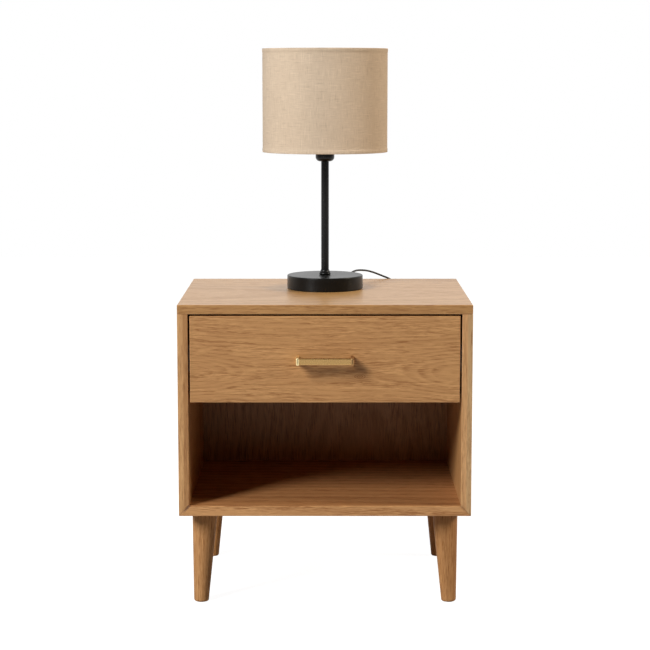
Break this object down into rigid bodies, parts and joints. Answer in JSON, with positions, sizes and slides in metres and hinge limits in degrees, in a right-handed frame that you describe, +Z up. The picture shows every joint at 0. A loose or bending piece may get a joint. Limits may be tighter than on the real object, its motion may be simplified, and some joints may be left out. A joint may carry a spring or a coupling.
{
  "type": "nightstand with table lamp",
  "caption": "Nightstand with a drawer over an open shelf, tapered splayed legs and a table lamp with a drum shade on a straight stem.",
  "frame": {"origin": "on the floor at the middle of the nightstand's outline, handle included and cord left out", "axes": "+Z up, -Y out of the drawer front towards the user, +X to the user's right"},
  "size_m": [0.5021, 0.667, 0.958],
  "materials": {
    "oak": "natural oak veneer, satin clear lacquer",
    "pale_wood": "pale solid wood, clear lacquer",
    "beech_dowel": "raw beech",
    "zinc_steel": "bright zinc plate",
    "ball_steel": "polished steel",
    "glide_plastic": "dark moulded plastic",
    "satin_brass": "satin brass",
    "contact_brass": "plain brass",
    "black_paint": "satin black powder coat",
    "iron": "black dipped",
    "felt": "black felt",
    "white_plastic": "white moulded plastic",
    "white_paint": "white powder coat",
    "linen": "woven linen laminated to a stiff liner",
    "bulb_glass": "opal",
    "cord_black": "black cable sheath",
    "black_plastic": "black moulded plastic",
    "plug_pin_metal": "nickel plate"
  },
  "bodies": {
    "cabinet": {"top_panel": "oak", "left_side_panel": "oak", "right_side_panel": "oak", "bottom_panel": "oak", "divider_panel": "oak", "back_panel": "oak", "carcase_dowels": "beech_dowel", "leg_front_left": "oak", "leg_front_right": "oak", "leg_rear_left": "oak", "leg_rear_right": "oak", "leg_hanger_bolts": "zinc_steel", "leg_insert_nuts": "zinc_steel", "foot_glides": "glide_plastic", "runner_cabinet_members": "zinc_steel", "runner_cabinet_screws": "zinc_steel", "upper_cord": "cord_black", "switch_back_half": "black_plastic", "switch_cover_half": "black_plastic", "lower_cord": "cord_black", "cord_hank": "cord_black", "hank_tie": "cord_black", "cord_tail": "cord_black", "plug_body": "black_plastic", "plug_pins": "plug_pin_metal"},
    "drawer": {"runner_drawer_members": "zinc_steel", "runner_drawer_screws": "zinc_steel", "drawer_front": "oak", "drawer_left_side": "pale_wood", "drawer_right_side": "pale_wood", "drawer_back": "pale_wood", "drawer_bottom": "pale_wood", "drawer_dowels": "beech_dowel", "drawer_handle": "satin_brass", "handle_screws": "zinc_steel"},
    "runner_middle": {"runner_middle_members": "zinc_steel"},
    "outer_cages": {"outer_ball_cages": "zinc_steel", "outer_bearing_balls": "ball_steel"},
    "inner_cages": {"inner_ball_cages": "zinc_steel", "inner_bearing_balls": "ball_steel"},
    "lamp": {"lamp_base_cover": "black_paint", "lamp_base_weight": "iron", "lamp_base_felt": "felt", "lamp_base_nut": "zinc_steel", "lamp_pipe": "zinc_steel", "lamp_stem": "black_paint", "lamp_collar": "black_paint", "socket_cup": "black_paint", "lamp_holder": "white_plastic", "holder_thread_sleeve": "contact_brass", "holder_contact": "contact_brass", "lamp_inner_wires": "cord_black", "shade_ring": "white_plastic", "bulb_glass": "bulb_glass", "bulb_cap": "zinc_steel", "cord_strain_relief": "cord_black"},
    "shade": {"shade_frame": "white_paint", "shade_top_ring": "white_paint", "shade_fabric": "linen"},
    "rocker": {"switch_rocker": "black_plastic"}
  },
  "joints": [
    {"name": "drawer_slide", "type": "slide", "parent": "cabinet", "child": "drawer", "axis": [0, -1, 0], "range_m": [0, 0.34]},
    {"name": "middle_slide", "type": "slide", "parent": "cabinet", "child": "runner_middle", "axis": [0, -1, 0], "range_m": [0, 0.17]},
    {"name": "outer_cage_slide", "type": "slide", "parent": "cabinet", "child": "outer_cages", "axis": [0, -1, 0], "range_m": [0, 0.085]},
    {"name": "inner_cage_slide", "type": "slide", "parent": "cabinet", "child": "inner_cages", "axis": [0, -1, 0], "range_m": [0, 0.255]},
    {"name": "lamp_lift", "type": "slide", "parent": "cabinet", "child": "lamp", "axis": [0, 0, 1], "range_m": [0, 0.1]},
    {"name": "shade_turn", "type": "hinge", "parent": "lamp", "child": "shade", "pos_m": [0, 0.059, 0.793], "axis": [0, 0, 1], "continuous": true},
    {"name": "switch_rock", "type": "hinge", "parent": "cabinet", "child": "rocker", "pos_m": [0.19, 0.2328, 0.33], "axis": [1, 0, 0], "range_deg": [-16, 0]}
  ],
  "couplings": [
    {"joint": "middle_slide", "follows": "drawer_slide", "ratio": 0.5},
    {"joint": "outer_cage_slide", "follows": "drawer_slide", "ratio": 0.25},
    {"joint": "inner_cage_slide", "follows": "drawer_slide", "ratio": 0.75}
  ]
}
